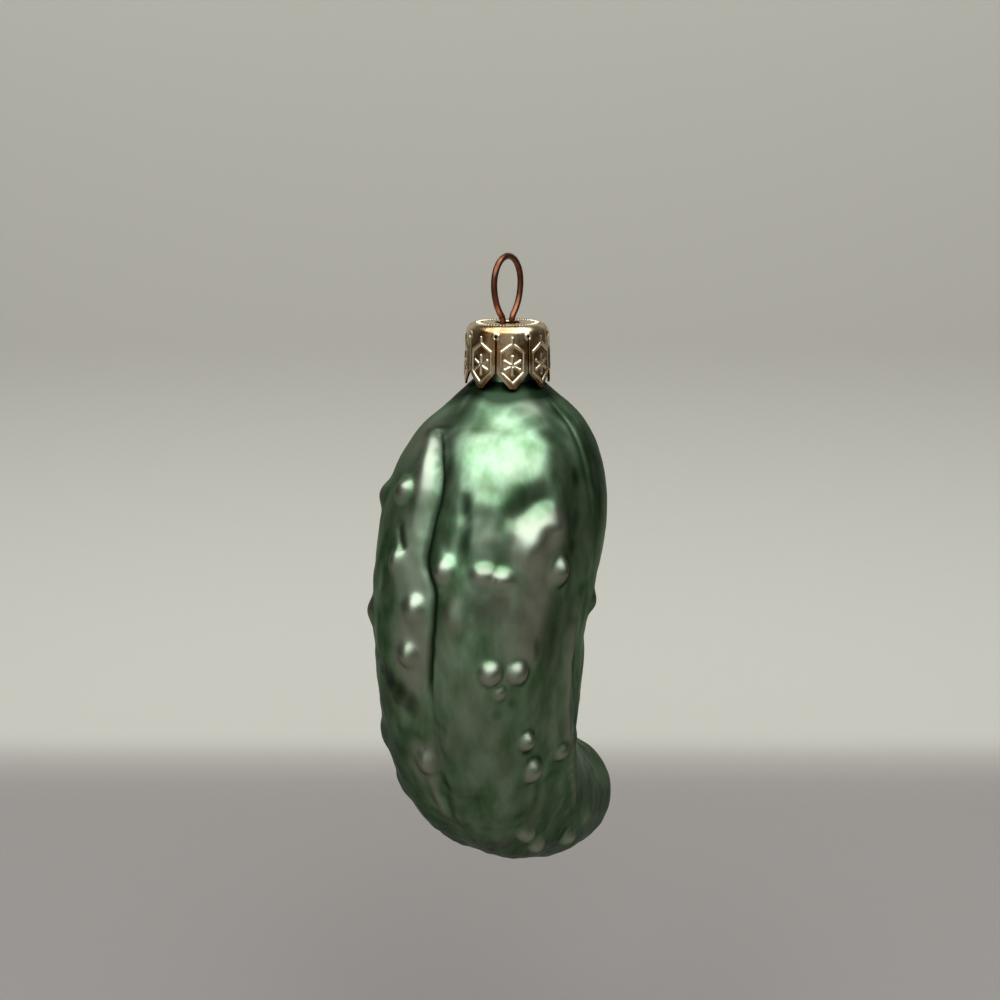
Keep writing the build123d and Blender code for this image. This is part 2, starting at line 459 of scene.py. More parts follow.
def tab_relief(across, drop):
    """The stamped pattern of one tab, a snowflake in a six-sided frame on a stem, from 0 to 1."""
    stem_top, top, upper, lower, bottom = 1.6, 2.42, 3.56, 6.4, 7.95
    frame_half = 1.62
    stem_width, slanted_width, upright_width = 0.16, 0.18, 0.11
    lines = [((0, stem_top), (0, top), stem_width)]
    for side in (-1, 1):
        lines.append(((0, top), (side * frame_half, upper), slanted_width))
        lines.append(((side * frame_half, upper), (side * frame_half, lower), upright_width))
        lines.append(((side * frame_half, lower), (0, bottom), slanted_width))
    flake = (0, 5.42)
    petal_start, petal_end, petal_width = 0.28, 1.0, 0.15
    bead_start, bead_end, bead_width = 1.2, 1.26, 0.2
    for petal in range(6):
        angle = math.radians(30 + 60 * petal)
        out = np.array([math.cos(angle), math.sin(angle)])
        lines.append((tuple(flake + out * petal_start), tuple(flake + out * petal_end), petal_width))
        lines.append((tuple(flake + out * bead_start), tuple(flake + out * bead_end), bead_width))
    rise = np.zeros_like(across)
    for start, end, width in lines:
        rise = np.maximum(rise, line_relief(across, drop, start, end, width))
    return rise


def cap_profile(settings):
    """The cap's outline from its hole to a tab's tip: radius, drop and outward direction of each row."""
    disc = settings.disc_radius / MM
    shoulder = settings.shoulder_radius / MM
    fall = settings.shoulder_drop / MM
    hem = settings.hem_radius / MM
    tip = settings.tip_drop / MM
    rows = [(r, 0.0) for r in np.linspace(settings.hole_radius / MM, disc, 12)[:-1]]
    for angle in np.radians(np.linspace(90, 0, 25)[:-1]):
        rows.append((disc + (shoulder - disc) * math.cos(angle), fall - fall * math.sin(angle)))
    for share in np.linspace(0, 1, 74):
        rows.append((shoulder + (hem - shoulder) * share, fall + (tip - fall) * share))
    rows = np.array(rows)
    heading = np.gradient(rows, axis=0)
    heading /= np.hypot(heading[:, 0], heading[:, 1])[:, None]
    return rows[:, 0], rows[:, 1], heading[:, 1], heading[:, 0]


def tab_half_width(radius, drop, settings):
    """Half the angle that one tab's sheet spans at a row of the cap."""
    pitch = math.pi / settings.tabs
    gap = settings.slit_width / MM / 2
    fall = settings.shoulder_drop / MM
    eye = settings.eye_radius / MM
    corner = settings.corner_drop / MM
    tip = settings.tip_drop / MM
    cut = np.where(drop >= fall, gap, 0.0)
    in_eye = np.abs(drop - fall) < eye
    cut = np.where(in_eye, np.maximum(cut, np.sqrt(np.maximum(eye**2 - (drop - fall) ** 2, 0))), cut)
    half = pitch - cut / radius
    narrow = np.clip((tip - drop) / (tip - corner), 0, 1)
    blunt = settings.tip_width / MM / 2 / radius
    return blunt + (half - blunt) * narrow


def stamped_tab(settings):
    """One tab with its share of the cap's top, as a skin without thickness, stamped with its pattern."""
    columns = 45
    lip_reach, lip_width = 0.2, 0.14
    shoulder_shine, shine_start, shine_depth = 0.1, 2.8, 1.6
    radius, drop, out, down = cap_profile(settings)
    half = tab_half_width(radius, drop, settings)
    angle = half[:, None] * np.linspace(-1, 1, columns)[None, :]
    across = angle * radius[:, None]
    drops = np.repeat(drop[:, None], columns, axis=1)
    rise = tab_relief(across, drops)
    pitch = math.pi / settings.tabs
    for side in (-1, 1):
        slit_end = (side * pitch * settings.shoulder_radius / MM, settings.shoulder_drop / MM)
        lip = ring_relief(across, drops, slit_end, settings.eye_radius / MM + lip_reach, lip_width)
        rise = np.maximum(rise, lip)
    height = rise * settings.emboss / MM
    reach = radius[:, None] + height * out[:, None]
    vertices = np.stack(
        [reach * np.cos(angle), reach * np.sin(angle), CAP_TOP - drops + height * down[:, None]], axis=-1
    )
    faces = [
        (r * columns + c, (r + 1) * columns + c, (r + 1) * columns + c + 1, r * columns + c + 1)
        for r in range(len(radius) - 1)
        for c in range(columns - 1)
    ]
    tab = new_object("one_tab", vertices.reshape(-1, 3), (), faces)
    # Raised lines, and the shoulder near the top, are marked to stay pale gold; elsewhere the field gets
    # painted shade
    bright = np.maximum(rise, shoulder_shine * np.clip((shine_start - drops) / shine_depth, 0, 1))
    tab.data.attributes.new("relief", "FLOAT", "POINT").data.foreach_set("value", bright.ravel())
    return tab


def shared_turn(tree, count, first):
    """A rotation about +Z that shares a full turn evenly among instances, from the first one's turn."""
    index = output_of(tree, "GeometryNodeInputIndex")
    turned = calc(tree, "MULTIPLY_ADD", index, calc(tree, "DIVIDE", 2 * math.pi, count), first)
    facing = output_of(tree, "ShaderNodeCombineXYZ", {"Z": turned})
    return output_of(tree, "FunctionNodeEulerToRotation", {0: facing})


def tabs_tree(material):
    """Repeats one tab round the neck and welds the seams."""
    tree, given = start_tree("ring_of_tabs", {"Tabs": "Int", "First Tab": "Float"})
    count = given["Tabs"]
    spots = output_of(tree, "GeometryNodeMeshLine", {"Count": count, "Offset": (0, 0, 0)}, mode="OFFSET")
    turns = shared_turn(tree, count, given["First Tab"])
    tabs = {"Points": spots, "Instance": given["Geometry"], "Rotation": turns}
    ring = output_of(tree, "GeometryNodeInstanceOnPoints", tabs)
    real = output_of(tree, "GeometryNodeRealizeInstances", {"Geometry": ring})
    weld = output_of(tree, "GeometryNodeMergeByDistance", {"Geometry": real, "Distance": 0.004 * MM})
    return close_tree(tree, weld, material)


def knurl_tree(material):
    """Adds a ring of small ridges to the cap's top, stored as raised so they stay free of painted shade."""
    sizes = {"Ridges": "Int", "Ring Radius": "Float", "Height": "Float", "Ridge Size": "Vector"}
    tree, given = start_tree("knurled_border", sizes)
    circle = {"Vertices": given["Ridges"], "Radius": given["Ring Radius"]}
    spots = output_of(tree, "GeometryNodeMeshCircle", circle)
    lift = output_of(tree, "ShaderNodeCombineXYZ", {"Z": given["Height"]})
    raised = output_of(tree, "GeometryNodeSetPosition", {"Geometry": spots, "Offset": lift})
    grain = output_of(tree, "GeometryNodeMeshUVSphere", {"Segments": 8, "Rings": 6, "Radius": 0.5})
    # Ridges are stored as fully raised, so none of the painted shade falls on them
    shine = {"Geometry": grain, "Name": "relief", "Value": 1.0}
    ridges = {
        "Points": raised,
        "Instance": output_of(tree, "GeometryNodeStoreNamedAttribute", shine),
        "Rotation": shared_turn(tree, given["Ridges"], 0.0),
        "Scale": given["Ridge Size"],
    }
    border = output_of(tree, "GeometryNodeInstanceOnPoints", ridges)
    both = add_node(tree, "GeometryNodeJoinGeometry")
    for part in (border, given["Geometry"]):
        tree.links.new(part, both.inputs[0])
    return close_tree(tree, both.outputs[0], material)


class ORNAMENT_OT_stamp_crown_cap(bpy.types.Operator):
    """Stamp the gold crown cap: one tab, repeated round the neck, and its knurled border"""

    bl_idname = "ornament.stamp_crown_cap"
    bl_label = "Stamp crown cap"

    def execute(self, context):
        settings = context.scene.ornament_cap
        material = gold_sheet_material(settings)
        tab = stamped_tab(settings)
        first_tab = settings.first_slit + math.pi / settings.tabs
        use_tree(tab, tabs_tree(material), {"Tabs": settings.tabs, "First Tab": first_tab})
        sheet = tab.modifiers.new("sheet", "SOLIDIFY")
        sheet.thickness = settings.sheet
        sheet.offset = -1
        knurl = {
            "Ridges": settings.ridges,
            "Ring Radius": settings.ridge_ring,
            "Height": CAP_TOP * MM,
            "Ridge Size": (settings.ridge_length, settings.ridge_width, settings.ridge_height),
        }
        use_tree(tab, knurl_tree(material), knurl)
        cap = settle(tab, "gold_crown_cap")
        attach(cap, "cap")
        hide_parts("crown_cap")
        return {"FINISHED"}


# The glass's mesh: points round each ring, crowded towards one turn where most is seen, rings along the
# body and rings on the rounded tail
AROUND = 248
CROWDING = 0.4
CROWDED_TURN = -120
RINGS = 290
TAIL_RINGS = 36

# Furrows along the body. The one near the leaning turn leans aside close to the neck: share along, degrees
RIB_COUNT = 5
LEANING_TURN = -82
LEANING_REACH = 44
LEAN = [(0, 25), (0.08, 21), (0.107, 15), (0.131, 12), (0.166, 7), (0.2, 3), (0.24, 0)]

# How softly a wart runs into the skin, in millimetres, and how many times its own radius that reaches
WART_BLEND = 0.5
WART_REACH = 3

# The least girth that spots are measured on, in millimetres
LEAST_GIRTH = 2.0

# Pieces of a crease's line, the share of it that fades at each end, and the least depth left there
CREASE_PIECES = 40
CREASE_FADE = 0.12
CREASE_LEAST = 0.02

# How often a ridge is softened, for a half width of one millimetre
SOFTENING = 3

# The body's rings: middle and heading of each, outward ways, girth, share along, turn, and its whole length
Body = namedtuple("Body", "spine heading ways girth share turn span")

# Girths of the glass body: forward of the neck, drop below the cap's top, radius, all in millimetres
GIRTHS = [
    (0, 8, 4.8), (0, 11.2, 8.4), (-0.1, 14.6, 11.8), (-1.2, 20.4, 14.8), (-4, 28.4, 16.4),
    (-7.6, 40.4, 16.2), (-8.6, 52.4, 15.2), (-6.9, 63.4, 14.4), (-2.5, 71.8, 13.3), (5, 78.5, 12.1),
    (12.2, 83.7, 11), (18.2, 86.7, 10),
]

# Creases pressed by the mould: depth and half width in millimetres, then the places that each runs
# through, as share of the way along the body and turn round it in degrees from +Y towards +X
CREASES = [
    (0.5, 0.6, [(0.085, -62), (0.107, -66.5), (0.142, -76.5), (0.18, -82.5), (0.204, -86), (0.232, -88.5),
                (0.253, -89), (0.273, -88), (0.301, -88), (0.322, -87.5), (0.339, -89.5), (0.355, -93.5),
                (0.38, -95), (0.41, -94.5), (0.44, -94), (0.475, -93.5), (0.52, -94.5)]),
    (0.32, 1.2, [(0.47, -93.5), (0.51, -94), (0.555, -95.5), (0.61, -97), (0.66, -99), (0.72, -102),
                 (0.82, -106), (0.95, -110)]),
    (0.25, 1.4, [(0.03, -54), (0.06, -58), (0.1, -66), (0.135, -75), (0.16, -80), (0.187, -84.5),
                 (0.225, -89), (0.256, -88.5), (0.3, -88.5)]),
    (0.18, 0.9, [(0.235, -103), (0.253, -105), (0.28, -107.5), (0.301, -108.5), (0.318, -109.5),
                 (0.335, -110)]),
    (0.3, 0.5, [(0.288, -68.5), (0.303, -71), (0.322, -75)]),
    (0.12, 0.4, [(0.02, -172), (0.045, -173), (0.08, -173.3), (0.121, -173.3), (0.17, -174), (0.204, -176),
                 (0.232, -178), (0.263, -178.6), (0.298, -179), (0.332, -181.4), (0.37, -184),
                 (0.416, -185.5), (0.49, -187), (0.545, -189), (0.66, -190)]),
    (0.11, 0.4, [(0.03, -187), (0.062, -185), (0.121, -181.4), (0.17, -180.2), (0.2, -181.8), (0.232, -182),
                 (0.263, -182.5), (0.308, -185), (0.356, -189), (0.4, -192)]),
    (0.4, 1.1, [(0.455, -44), (0.468, -60), (0.485, -74), (0.503, -86)]),
    (0.22, 1.1, [(0.49, -56), (0.505, -70), (0.52, -84)]),
    (0.22, 1.0, [(0.54, -66), (0.548, -78), (0.555, -90)]),
    (0.25, 0.8, [(0.39, -171), (0.42, -172), (0.46, -173.3), (0.495, -173.3), (0.533, -174.6),
                 (0.574, -177)]),
    (0.3, 0.7, [(0.4, -183), (0.43, -183), (0.467, -183.5), (0.512, -187), (0.557, -191), (0.63, -195),
                (0.68, -194), (0.727, -188), (0.8, -178), (0.88, -168)]),
    (0.2, 0.9, [(0.49, -166), (0.53, -169), (0.57, -168), (0.62, -170), (0.69, -171)]),
    (0.16, 1.0, [(0.6, -118), (0.64, -122), (0.7, -124), (0.77, -128)]),
    (0.5, 0.6, [(0.0, 10), (0.1, 4), (0.25, -3), (0.4, -6), (0.6, -8), (0.8, 0), (0.95, 6)]),
    (0.5, 0.6, [(0.0, 84), (0.12, 80), (0.3, 76), (0.5, 79), (0.7, 74), (0.9, 78)]),
    (0.5, 0.6, [(0.0, 140), (0.1, 136), (0.25, 131), (0.45, 134), (0.65, 129), (0.9, 132)]),
]

# Ridges that stand out of the skin, and troughs, whose height is below zero, given like the creases
RIDGES = [
    (1.15, 1.9, [(0.306, -133), (0.303, -136), (0.295, -139), (0.278, -143), (0.268, -147), (0.262, -151),
                 (0.262, -157)]),
    (-0.8, 1.7, [(0.268, -128), (0.257, -130), (0.246, -133), (0.23, -138), (0.218, -144), (0.212, -148)]),
    (0.45, 0.9, [(0.59, -88.5), (0.615, -89), (0.64, -90), (0.67, -91.5)]),
    (0.5, 0.6, [(0.33, -175), (0.346, -176), (0.412, -177.5), (0.481, -178.6), (0.557, -180), (0.6, -183.5),
                (0.65, -185.5), (0.7, -184.5), (0.75, -180), (0.8, -175)]),
    (0.6, 1.3, [(0.1, -60), (0.13, -67.5), (0.16, -72.5), (0.2, -76), (0.235, -78.5), (0.275, -78)]),
]

# Swellings and dents: share along, turn, half length along, half width across and height in millimetres
SWELLS = [
    (0.28, -146.5, 2.6, 2.4, -0.3), (0.27, -159.5, 5, 1.6, 0.3), (0.18, -208, 14, 9, 0.45),
    (0.38, -206, 8, 8, -0.4), (0.52, -203, 9, 8, 0.5), (0.24, -166, 12, 3.4, -0.3),
    (0.39, -152, 4.5, 3.4, -0.5), (0.42, -70, 10, 7, 0.6), (0.357, -122, 2.2, 3, 0.35),
    (0.39, -107, 3, 2.4, 0.3), (0.5, -131, 1.8, 2.2, -0.35), (0.495, -138, 1.6, 1.6, 0.3),
    (0.52, -124, 3, 2, 0.25), (0.56, -112, 3.4, 2.2, -0.3), (0.63, -143, 2.4, 2.6, -0.35),
    (0.2, 60, 9, 7, 0.8), (0.45, 30, 10, 7, 0.8), (0.35, 110, 8, 6, -0.6), (0.6, 100, 9, 7, 0.7),
]

# Warts, given like the swellings, those on the photographed side first
WARTS = [
    (0.244, -66.5, 2, 2, 1.15), (0.253, -39, 2, 2, 0.8), (0.317, -159.5, 2.1, 2.1, 1.4),
    (0.332, -119.5, 1.4, 2, 1), (0.334, -123.5, 1.2, 1.6, 0.85), (0.334, -127.5, 1.3, 1.8, 0.9),
    (0.335, -99.5, 1.8, 1.9, 1.15), (0.333, -72, 1.6, 1.2, 0.8), (0.386, -84.5, 1.8, 1.8, 1.15),
    (0.41, -42, 1.9, 1.9, 0.75), (0.438, -82.5, 1.5, 1.6, 1), (0.365, 160, 1.9, 1.9, 0.75),
    (0.446, -141, 1.6, 1.8, 1.3), (0.445, -127, 1.6, 1.8, 1.3), (0.47, -132, 1, 1.1, 0.65),
    (0.546, -148, 1.5, 1.5, 1.45), (0.597, -151.5, 1.8, 1.9, 1.7), (0.602, -175, 1.5, 1.5, 1.1),
    (0.577, -88.5, 1.7, 2.2, 1.2), (0.59, -38, 2.1, 2.1, 0.8), (0.65, -100, 1.8, 1.8, 0.6),
    (0.66, -48, 2, 2, 0.5), (0.702, -138, 1.5, 1.6, 1.5), (0.747, -138, 1.4, 1.7, 1.4),
    (0.84, -152, 1.6, 1.8, 1.5), (0.7, -122, 1.7, 1.7, 0.35), (0.88, -170, 2, 2, 0.6),
    (0.325, 89, 1.8, 1.8, 0.7), (0.525, 22, 1.8, 1.8, 0.7), (0.725, 14, 1.8, 1.8, 0.65),
    (0.24, 94, 2.1, 2.1, 0.8), (0.41, 118, 2.1, 2.1, 0.8), (0.44, 34, 2.1, 2.1, 0.8),
    (0.575, 73, 2.1, 2.1, 0.8), (0.605, -21, 2.1, 2.1, 0.8), (0.8, 5, 2.1, 2.1, 0.75),
    (0.255, 121, 2.4, 2.4, 0.9), (0.325, 38, 2.4, 2.4, 0.9), (0.585, 9, 2.4, 2.4, 0.9),
    (0.33, 2, 1.9, 1.9, 0.7), (0.7, 110, 1.9, 1.9, 0.65), (0.18, 20, 1.9, 1.9, 0.65),
    (0.48, 60, 1.8, 1.8, 0.6), (0.64, 120, 1.8, 1.8, 0.6),
]

# Places where the lacquer is rubbed thin, some set where reflections of the room fell, so partly painted
# reflection: share along, turn, half length along, half width across, strength
THIN_SPOTS = [
    (0.42, -84, 14, 3.6, 0.9), (0.31, -80, 9, 4, 0.8), (0.375, -149, 9, 4.2, 1),
    (0.365, -124, 4.5, 6, 0.5), (0.39, -106, 6, 2.6, 0.6), (0.287, -117, 4.5, 3.6, 0.7),
    (0.045, -150, 3.5, 4, 0.6), (0.39, -134, 5, 4, 0.5), (0.577, -87, 4, 4, 0.8),
    (0.635, -89.5, 5, 1.3, 1), (0.478, -117, 6, 3, 0.3), (0.575, -130, 9, 3.2, 0.3),
    (0.28, -140, 5, 6, 1), (0.195, -76, 4.5, 2.2, 0.8), (0.15, -60, 12, 5, 0.5),
    (0.45, 20, 14, 5, 0.7), (0.3, 60, 10, 6, 0.7), (0.6, 90, 12, 5, 0.6), (0.35, 150, 12, 4, 0.6),
]

# Places darkened with painted shade, given like the spots above
THICK_SPOTS = [
    (0.22, -168, 17, 4.5, 0.5), (0.14, -183, 15, 7, 0.6), (0.32, -190, 14, 6, 0.4),
    (0.097, -164.5, 3.5, 1.8, 0.65), (0.178, -166, 3.6, 1.6, 0.85), (0.243, -167, 4.2, 1.8, 0.8),
    (0.282, -166, 2.6, 1.4, 0.8), (0.335, -168, 4.5, 1.5, 0.75), (0.05, -131, 2.6, 3.2, 0.7),
    (0.075, -141, 2.6, 3.2, 0.75), (0.1, -148, 2.6, 3, 0.75), (0.097, -99, 1.5, 1.5, 0.3),
    (0.08, -68, 7, 3.6, 0.6), (0.105, -70, 3, 3, 0.8), (0.122, -70.5, 2.4, 3, 0.9),
    (0.155, -79.5, 3, 1.3, 0.8), (0.185, -83.5, 3, 1.3, 0.8), (0.212, -86, 3, 1.3, 0.7),
    (0.272, -107, 3, 1.5, 0.9), (0.075, -160, 4, 3, 0.6), (0.064, -169, 4, 3, 0.8),
    (0.215, -89.5, 5, 1.6, 0.85), (0.14, -81.5, 5, 2.2, 0.55), (0.4, -162, 12, 3.5, 0.75),
    (0.419, -153, 2.5, 1.5, 0.6), (0.38, -171, 11, 3.5, 0.6), (0.47, -166, 8, 3, 0.55),
    (0.225, -135, 2.6, 5, 0.4), (0.29, -108, 4.5, 1.5, 0.95), (0.5, -131, 1.6, 1.6, 0.6),
    (0.37, -121, 3.5, 4, 0.55), (0.265, -112, 3.5, 5, 0.5), (0.255, -105.5, 4, 1.6, 0.9),
    (0.29, -120, 5, 5, 0.5), (0.06, -92, 3.5, 4, 0.7), (0.465, -60, 2.2, 3, 0.8),
    (0.478, -69, 3, 3, 0.95), (0.488, -75, 3, 2.6, 0.95), (0.502, -80.5, 3, 2.4, 0.85),
    (0.523, -102.5, 2.2, 1, 0.6), (0.503, -108, 2.2, 1, 0.45), (0.625, -117, 4.5, 1.2, 0.65),
    (0.72, -104, 5, 2.2, 0.65), (0.563, -150, 1.4, 2.2, 0.8), (0.612, -153, 2, 2.5, 0.65),
    (0.41, -163, 13, 2.2, 0.8), (0.56, -176, 6, 1.6, 0.6), (0.45, -20, 12, 4, 0.5),
    (0.3, 100, 12, 4, 0.5), (0.55, 130, 12, 4, 0.5),
]


def curve_through(points, count):
    """Points evenly spaced along a smooth curve through the given ones, and its length."""
    points = np.asarray(points, float)
    knots = np.concatenate([[0], np.cumsum(np.linalg.norm(np.diff(points, axis=0), axis=1))])
    gaps = np.diff(knots)
    system = np.eye(len(knots))
    bends = np.zeros_like(points)
    for i in range(1, len(knots) - 1):
        system[i, i - 1:i + 2] = gaps[i - 1], 2 * (gaps[i - 1] + gaps[i]), gaps[i]
        bends[i] = 6 * ((points[i + 1] - points[i]) / gaps[i] - (points[i] - points[i - 1]) / gaps[i - 1])
    bends = np.linalg.solve(system, bends)
    fine = np.linspace(0, knots[-1], 12 * count)
    at = np.clip(np.searchsorted(knots, fine, side="right") - 1, 0, len(gaps) - 1)
    gap = gaps[at][:, None]
    back = (fine - knots[at])[:, None]
    ahead = gap - back
    curve = (bends[at] * ahead**3 + bends[at + 1] * back**3) / (6 * gap)
    curve += (points[at] / gap - bends[at] * gap / 6) * ahead
    curve += (points[at + 1] / gap - bends[at + 1] * gap / 6) * back
    run = np.concatenate([[0], np.cumsum(np.linalg.norm(np.diff(curve, axis=0), axis=1))])
    even = np.linspace(0, run[-1], count)
    return np.stack([np.interp(even, run, column) for column in curve.T], axis=-1), run[-1]


def wrapped(degrees):
    """A turn brought to between -270 and 90 degrees, so the join lies where there is least to see."""
    return (np.asarray(degrees) + 270) % 360 - 270


def ramp(values, start, end):
    """How far each value has come from the start to the end, from 0 to 1."""
    return np.clip((values - start) / (end - start), 0, 1)


def bent_body(settings):
    """The body's bent line as rings, round the rounded tail too."""
    flank, span = curve_through([(x, r, CAP_TOP - drop) for x, drop, r in GIRTHS], RINGS)
    heading = np.gradient(flank, axis=0)
    heading[:, 1] = 0
    heading /= np.linalg.norm(heading, axis=1)[:, None]

    # The rounded tail goes on from the last girth.
    dome = np.radians(np.linspace(0, 90, TAIL_RINGS + 1)[1:-1])
    beyond = settings.tail_length / MM * np.sin(dome)
    spine = np.concatenate([flank, flank[-1] + heading[-1] * beyond[:, None]])
    spine[:, 1] = 0
    girth = np.concatenate([flank[:, 1], flank[-1, 1] * np.cos(dome)])[:, None]
    share = np.concatenate([np.linspace(0, 1, RINGS), 1 + beyond / span])[:, None]
    heading = np.concatenate([heading, np.repeat(heading[-1:], len(dome), axis=0)])

    side = np.stack([-heading[:, 2], np.zeros(len(heading)), heading[:, 0]], axis=-1)
    steps = np.linspace(0, 2 * math.pi, AROUND, endpoint=False)
    turn = wrapped(np.degrees(steps - CROWDING * np.sin(steps)) + CROWDED_TURN)[None, :]
    ways = np.cos(np.radians(turn))[..., None] * np.array([0, 1, 0])
    ways = ways + np.sin(np.radians(turn))[..., None] * side[:, None, :]
    return Body(spine, heading, ways, girth, share, turn, span)


def furrowed_skin(body, rib_depth):
    """Places of the skin with its furrows, before anything stands out of it."""
    lean = np.interp(body.share, *zip(*LEAN))
    near = np.clip(1 - np.abs(body.turn - LEANING_TURN) / LEANING_REACH, 0, 1)
    leaning = body.turn + 90 - lean * near**2 * (3 - 2 * near)
    furrows = ((1 + np.cos(np.radians(RIB_COUNT * leaning))) / 2) ** 3
    fade = np.sin(np.pi * np.clip(body.share, 0, 1)) ** 0.4
    reach = body.girth * (1 - rib_depth * fade * furrows)
    return body.spine[:, None, :] + reach[..., None] * body.ways


def skin_facing(body, skin):
    """The outward direction of the skin at each place."""
    ahead = np.gradient(skin, axis=0)
    across = np.roll(skin, -1, axis=1) - np.roll(skin, 1, axis=1)
    out = np.cross(ahead, across)
    out /= np.linalg.norm(out, axis=-1)[..., None]
    return out * np.sign(np.sum(out * body.ways, axis=-1).mean())


def crease_depth(body, crease):
    """How deep one crease is at each place on the glass, in millimetres."""
    depth, width, run = crease
    run = np.array(run, float)
    run[:, 1] = wrapped(run[:, 1])
    even_steps = (100, 0.3)
    run, _ = curve_through(run * even_steps, CREASE_PIECES)
    run = run / even_steps
    per_degree = np.radians(np.maximum(body.girth, LEAST_GIRTH))
    near = np.full(np.broadcast(body.share, body.turn).shape, np.inf)
    where = np.zeros_like(near)
    for i, (start, end) in enumerate(zip(run[:-1], run[1:])):
        step_along = (end[0] - start[0]) * body.span
        step_round = (end[1] - start[1]) * per_degree
        off_along = (body.share - start[0]) * body.span
        off_round = (body.turn - start[1]) * per_degree
        at = (off_along * step_along + off_round * step_round) / (step_along**2 + step_round**2)
        at = np.clip(at, 0, 1)
        gap = np.hypot(off_along - at * step_along, off_round - at * step_round)
        closer = gap < near
        near = np.where(closer, gap, near)
        where = np.where(closer, (i + at) / (len(run) - 1), where)
    fade = np.clip(np.minimum(where, 1 - where) / CREASE_FADE, CREASE_LEAST, 1)
    return depth * fade * np.exp(-((near / width) ** 2))


def faded_ends(body):
    """1 along the body, falling to 0 at the neck and at the tip of the tail."""
    return ramp(body.share, 0, 0.05) * ramp(body.share, 1.09, 1.03)


def softened(heights, passes):
    """Heights on the glass with their sharp kinks evened out over a few steps of the mesh each way."""
    for _ in range(passes):
        for axis in (0, 1):
            heights = (np.roll(heights, 1, axis) + 2 * heights + np.roll(heights, -1, axis)) / 4
    return heights


def distance_off(body, spot):
    """How far off a spot's middle each place on the glass is, squared, 1 at the spot's edge."""
    along, at_turn, long_half, wide_half, _ = spot
    gap = np.radians(wrapped(body.turn - wrapped(at_turn) - 90) + 90)
    gap = gap * np.maximum(body.girth, LEAST_GIRTH)
    return ((body.share - along) * body.span / long_half) ** 2 + (gap / wide_half) ** 2


def soft_spot(body, spot):
    """One soft-edged spot at its own strength or height."""
    return spot[4] * np.clip(1 - distance_off(body, spot), 0, 1) ** 1.5


def ripples(places, wavelength, count, seed):
    """A soft uneven surface: waves of about one length in many directions, from -1 to 1 or so."""
    draw = np.random.default_rng(seed)
    ways = draw.normal(size=(count, 3))
    ways /= np.linalg.norm(ways, axis=1)[:, None]
    lengths = wavelength * draw.uniform(0.8, 1.3, count)
    starts = draw.uniform(0, 2 * math.pi, count)
    total = np.zeros(places.shape[:-1])
    for way, wave, start in zip(ways, lengths, starts):
        total += np.cos(places @ way * (2 * math.pi / wave) + start)
    return total / math.sqrt(count / 2)


def skin_relief(body, skin):
    """How far the skin stands out, and what creases, crests and warts give to it, in millimetres."""
    rise = np.zeros(skin.shape[:2])
    pressed = np.zeros_like(rise)
    for crease in CREASES:
        pressed = np.maximum(pressed, crease_depth(body, crease))
    crests = np.zeros_like(rise)
    for ridge in RIDGES:
        height = softened(crease_depth(body, ridge), round(SOFTENING * ridge[1] ** 2))
        crests = np.maximum(crests, height)
        rise += height
    for swell in SWELLS:
        rise += soft_spot(body, swell)
    lumps = np.zeros_like(rise)
    for wart in WARTS:
        far = distance_off(body, wart)
        ball = wart[4] * (1 - far)
        lumps = np.maximum(lumps, (ball + np.sqrt(ball**2 + WART_BLEND**2)) / 2 * (far < WART_REACH**2))

    # The skin is calmer on the dome under the cap and a little rougher on the lower body.
    fine_height = 0.02 + 0.01 * ramp(body.share, 0.4, 0.6)
    uneven = 0.06 * ripples(skin, wavelength=11, count=24, seed=3)
    uneven += 0.05 * ripples(skin, wavelength=4.5, count=32, seed=5)
    uneven += fine_height * ripples(skin, wavelength=2.2, count=40, seed=7)
    rise += lumps - pressed + uneven * (0.3 + 0.7 * ramp(body.share, 0.2, 0.28))
    return rise, pressed, crests, lumps


def lacquer_coat(body, skin, pressed, crests, lumps):
    """How much painted shade darkens the lacquer, and how far it is rubbed thin or greyed as painted
    reflection, each from 0 to 1.
    """
    rubbed = 0.9 * np.maximum(ramp(lumps, 0.25, 0.75), ramp(crests, 0, 0.5))
    for spot in THIN_SPOTS:
        rubbed = np.maximum(rubbed, soft_spot(body, spot))
    # Creases are darkened with painted shade, more where they are deeper
    thick = np.clip((pressed / 0.5) ** 1.3, 0, 1) * faded_ends(body)
    for spot in THICK_SPOTS:
        thick = np.maximum(thick, soft_spot(body, spot))

    # Painted shadow also lies in a ragged band under the cap, and painted shade darkens the lower body a
    # little.
    collar_end = 0.06 + 0.006 * ripples(skin, wavelength=9, count=16, seed=11)
    thick = np.maximum(thick, np.clip((collar_end - body.share) / 0.03, 0, 1))
    lower = 0.42 * ramp(body.share, 0.34, 0.54)
    return np.maximum(thick, lower * (1 - 0.7 * rubbed)), rubbed


